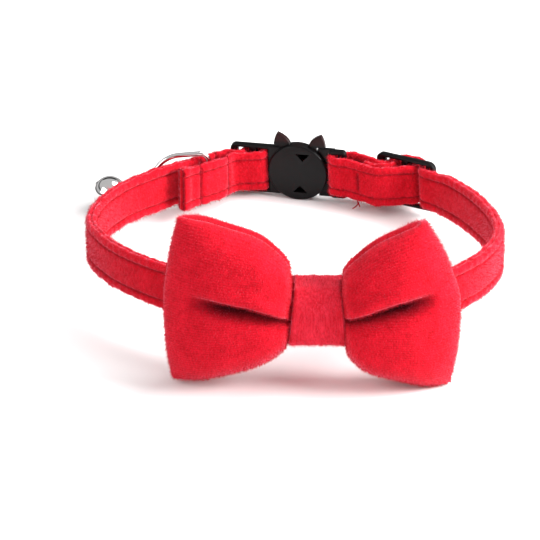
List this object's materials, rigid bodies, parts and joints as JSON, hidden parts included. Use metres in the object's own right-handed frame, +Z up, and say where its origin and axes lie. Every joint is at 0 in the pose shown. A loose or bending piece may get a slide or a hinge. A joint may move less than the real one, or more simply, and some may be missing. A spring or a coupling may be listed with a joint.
{
  "type": "pet bow tie collar",
  "caption": "Velvet cat collar with a breakaway buckle, a strap slider, a padded bow tie held by a knot band, and a bell on a D-ring.",
  "frame": {"origin": "middle of the whole collar's box at the table that it lies on", "axes": "+Z up from the table, +Y from the bow at the front to the buckle at the back, +X to the right as the bow is seen"},
  "size_m": [0.0918, 0.0974, 0.0379],
  "materials": {
    "strap_velvet": "short-pile velvet, matt with a pale sheen at its edges",
    "bow_velvet": "ribbed short-pile velvet, matt with a pale sheen at its edges",
    "black_plastic": "moulded, semi-gloss",
    "chrome": "bright plated steel"
  },
  "bodies": {
    "collar": {"collar_strap": "strap_velvet", "bow_band": "bow_velvet", "bow_knot": "bow_velvet", "buckle_housing": "black_plastic", "buckle_plug": "black_plastic", "strap_slider": "black_plastic"},
    "bell_pendant": {"d_ring": "chrome", "jump_ring": "chrome", "bell_shell": "chrome", "bell_pellet": "chrome"}
  },
  "joints": [
    {"name": "d_ring_swing", "type": "hinge", "parent": "collar", "child": "bell_pendant", "pos_m": [-0.01939, 0.03946, 0.0075], "axis": [0, 0, 1], "range_deg": [-118, 4]}
  ]
}
